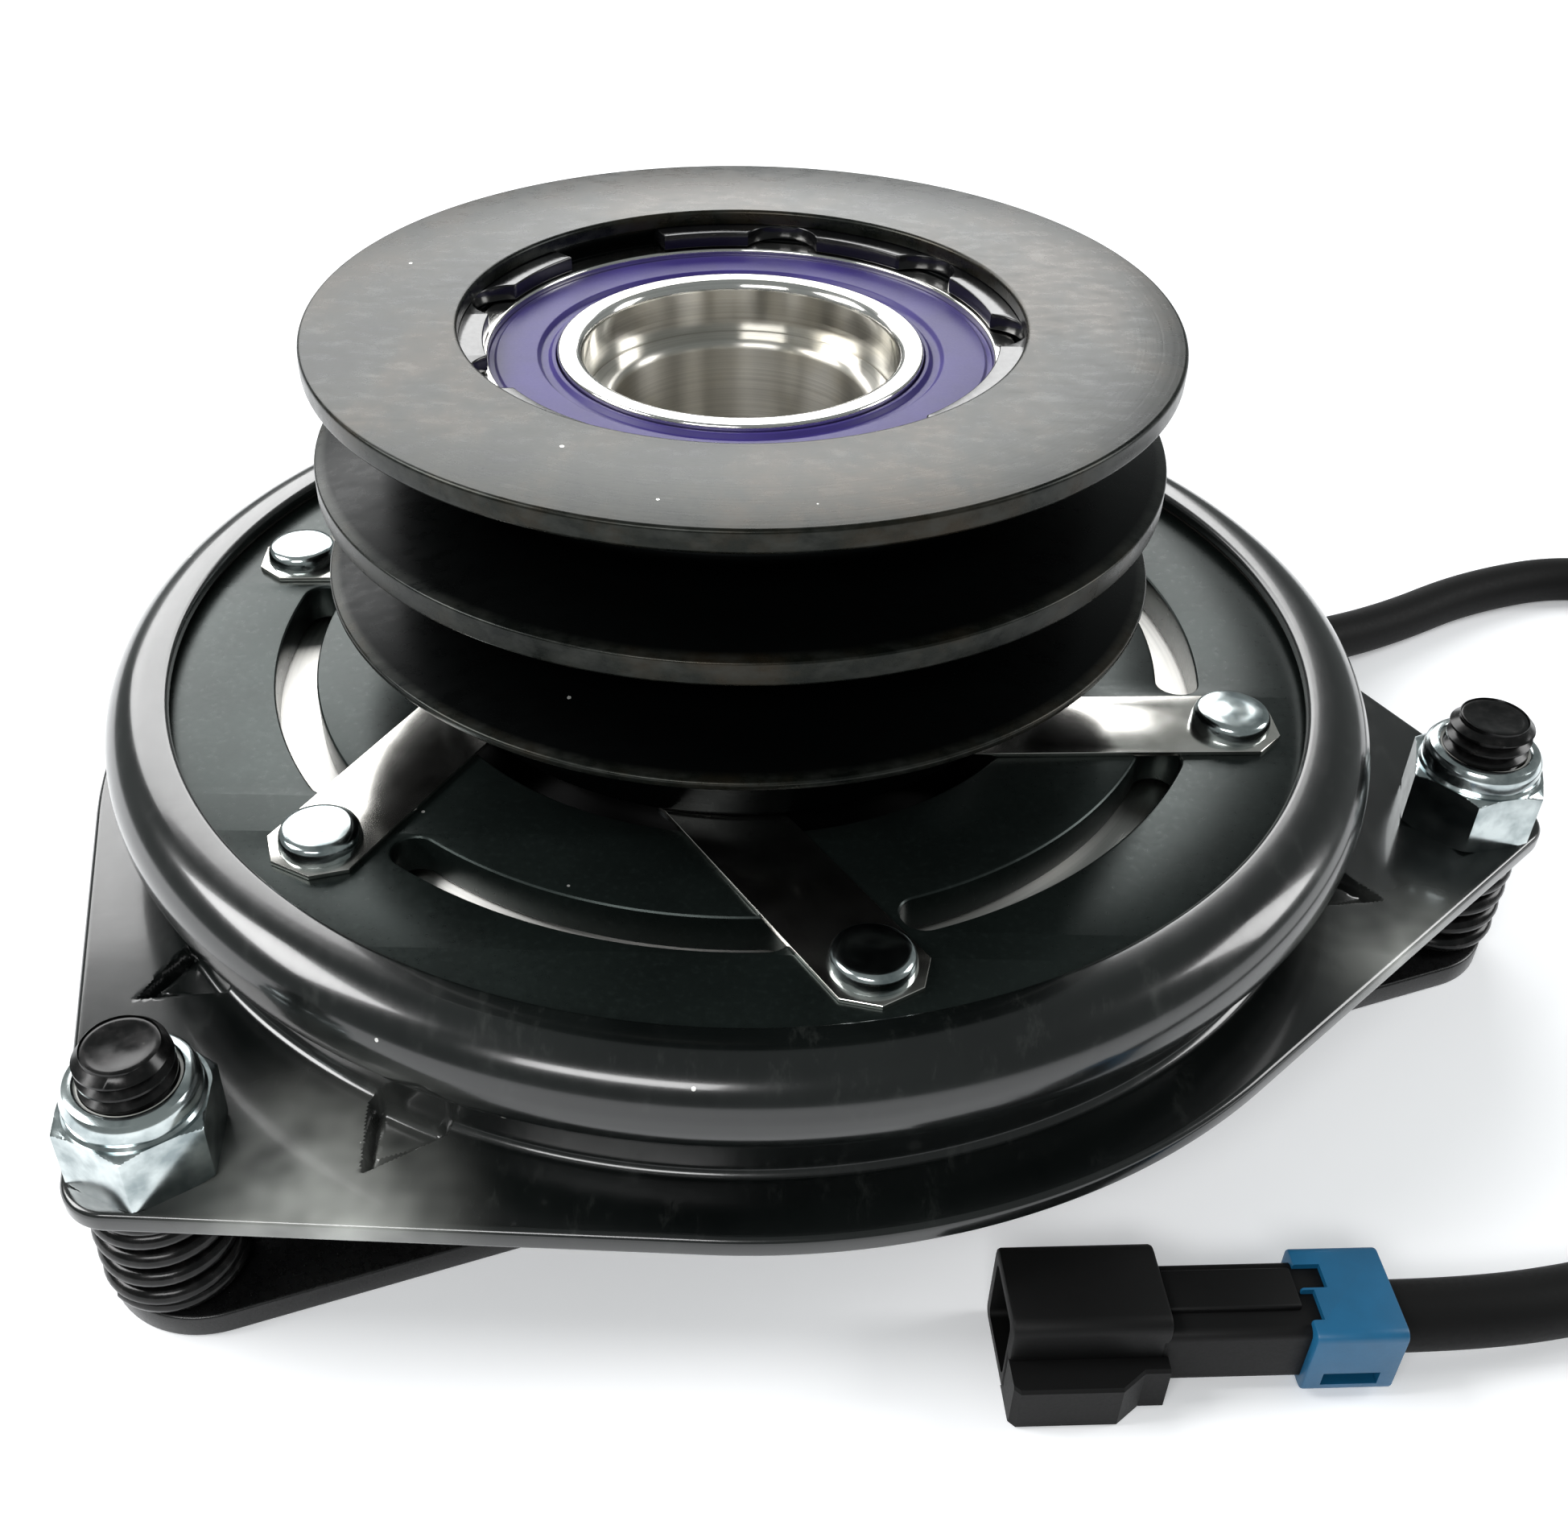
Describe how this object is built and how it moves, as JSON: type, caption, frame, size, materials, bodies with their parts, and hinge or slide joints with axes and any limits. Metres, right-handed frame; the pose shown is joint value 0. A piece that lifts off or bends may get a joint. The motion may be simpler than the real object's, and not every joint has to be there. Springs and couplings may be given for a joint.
{
  "type": "electromagnetic clutch",
  "caption": "Electromagnetic clutch-brake for a mower deck drive: coil field, rotor, sprung armature, brake flange and a grooved belt pulley, with a plug lead.",
  "frame": {"origin": "on the spin axis, in the plane of the field plate's underside, on which the clutch stands", "axes": "+Z along the spin axis towards the pulley; +X towards the lead's open bend, with the connector to its -Y side"},
  "size_m": [0.2509, 0.1791, 0.0775],
  "materials": {
    "black_painted_steel": "satin black paint",
    "black_e_coat": "gloss black coat over pressed sheet",
    "blackened_steel": "turned, blackened and mottled",
    "armature_steel": "dark satin with a turned grain",
    "rotor_steel": "turned bright face",
    "spring_steel": "bare rolled strip",
    "black_spring_wire": "gloss black wire",
    "zinc_plate": "bright zinc plate, dulled on top",
    "bearing_steel": "ground and polished",
    "cage_nylon": "moulded",
    "seal_rubber": "moulded violet rubber",
    "friction_material": "pressed fibre",
    "copper_wire": "enamelled winding",
    "bobbin_plastic": "moulded",
    "potting_resin": "poured",
    "nut_nylon": "moulded",
    "black_rubber": "moulded",
    "black_sleeve": "smooth flexible sleeve",
    "connector_black": "moulded, matte",
    "lock_blue": "moulded, matte",
    "terminal_brass": "tinned blades"
  },
  "bodies": {
    "field": {"field_mounting_plate": "black_painted_steel", "field_plate_rivets": "zinc_plate", "field_shell": "black_painted_steel", "coil_bobbin": "bobbin_plastic", "coil_winding": "copper_wire", "coil_potting": "potting_resin", "field_bearing_outer_race": "bearing_steel", "field_bearing_upper_seal": "seal_rubber", "field_bearing_lower_seal": "seal_rubber", "adjusting_studs": "blackened_steel", "brake_spring_1": "black_spring_wire", "brake_spring_2": "black_spring_wire", "brake_spring_3": "black_spring_wire", "lead_grommet": "black_rubber", "lead_sleeve": "black_sleeve", "connector_housing": "connector_black", "connector_lock": "lock_blue", "connector_terminals": "terminal_brass"},
    "rotor": {"rotor_hub": "rotor_steel", "rotor": "rotor_steel", "rotor_friction_lining": "friction_material", "hub_retaining_ring": "blackened_steel", "field_bearing_inner_race": "bearing_steel", "pulley_bearing_inner_race": "bearing_steel"},
    "field_bearing_ball_set": {"field_bearing_balls": "bearing_steel", "field_bearing_cage": "cage_nylon"},
    "pulley": {"pulley": "blackened_steel", "pulley_bearing_outer_race": "bearing_steel", "pulley_bearing_upper_seal": "seal_rubber", "pulley_bearing_lower_seal": "seal_rubber", "pulley_retaining_ring": "blackened_steel", "leaf_spring_1": "spring_steel", "leaf_spring_2": "spring_steel", "leaf_spring_3": "spring_steel", "leaf_spring_4": "spring_steel", "leaf_spring_5": "spring_steel", "leaf_spring_6": "spring_steel", "leaf_spring_screws": "zinc_plate"},
    "pulley_bearing_ball_set": {"pulley_bearing_balls": "bearing_steel", "pulley_bearing_cage": "cage_nylon"},
    "armature": {"armature": "armature_steel", "armature_rivets": "zinc_plate"},
    "brake_flange": {"brake_flange": "black_e_coat", "brake_lining": "friction_material"},
    "lock_nut_1": {"lock_nut_1": "zinc_plate", "nylon_insert_1": "nut_nylon"},
    "lock_nut_2": {"lock_nut_2": "zinc_plate", "nylon_insert_2": "nut_nylon"},
    "lock_nut_3": {"lock_nut_3": "zinc_plate", "nylon_insert_3": "nut_nylon"}
  },
  "joints": [
    {"name": "rotor_spin", "type": "hinge", "parent": "field", "child": "rotor", "pos_m": [0, 0, 0], "axis": [0, 0, 1], "continuous": true},
    {"name": "field_bearing_ball_set_spin", "type": "hinge", "parent": "field", "child": "field_bearing_ball_set", "pos_m": [0, 0, 0], "axis": [0, 0, 1], "continuous": true},
    {"name": "pulley_spin", "type": "hinge", "parent": "rotor", "child": "pulley", "pos_m": [0, 0, 0], "axis": [0, 0, 1], "continuous": true},
    {"name": "pulley_bearing_ball_set_spin", "type": "hinge", "parent": "rotor", "child": "pulley_bearing_ball_set", "pos_m": [0, 0, 0], "axis": [0, 0, 1], "continuous": true},
    {"name": "armature_pull_in", "type": "slide", "parent": "pulley", "child": "armature", "axis": [0, 0, 1], "range_m": [-0.0004, 0], "stiffness_N_per_m": 20000, "springref_m": 0.0002, "deforming": ["leaf_spring_1", "leaf_spring_2", "leaf_spring_3", "leaf_spring_4", "leaf_spring_5", "leaf_spring_6"]},
    {"name": "brake_flange_gap", "type": "slide", "parent": "field", "child": "brake_flange", "axis": [0, 0, 1], "range_m": [0, 0.0015], "deforming": ["brake_spring_1", "brake_spring_2", "brake_spring_3"]},
    {"name": "lock_nut_1_turn", "type": "hinge", "parent": "brake_flange", "child": "lock_nut_1", "pos_m": [-0.05665, -0.07045, 0.0201], "axis": [0, 0, 1], "range_deg": [0, 345]},
    {"name": "lock_nut_2_turn", "type": "hinge", "parent": "brake_flange", "child": "lock_nut_2", "pos_m": [0.08934, -0.01383, 0.0201], "axis": [0, 0, 1], "range_deg": [0, 345]},
    {"name": "lock_nut_3_turn", "type": "hinge", "parent": "brake_flange", "child": "lock_nut_3", "pos_m": [-0.03269, 0.08428, 0.0201], "axis": [0, 0, 1], "range_deg": [0, 345]}
  ],
  "couplings": [
    {"joint": "field_bearing_ball_set_spin", "follows": "rotor_spin", "ratio": 0.42648},
    {"joint": "pulley_bearing_ball_set_spin", "follows": "pulley_spin", "ratio": 0.59072},
    {"joint": "lock_nut_1_turn", "follows": "brake_flange_gap", "rad_per_m": 3957.9},
    {"joint": "lock_nut_2_turn", "follows": "brake_flange_gap", "rad_per_m": 3957.9},
    {"joint": "lock_nut_3_turn", "follows": "brake_flange_gap", "rad_per_m": 3957.9}
  ]
}
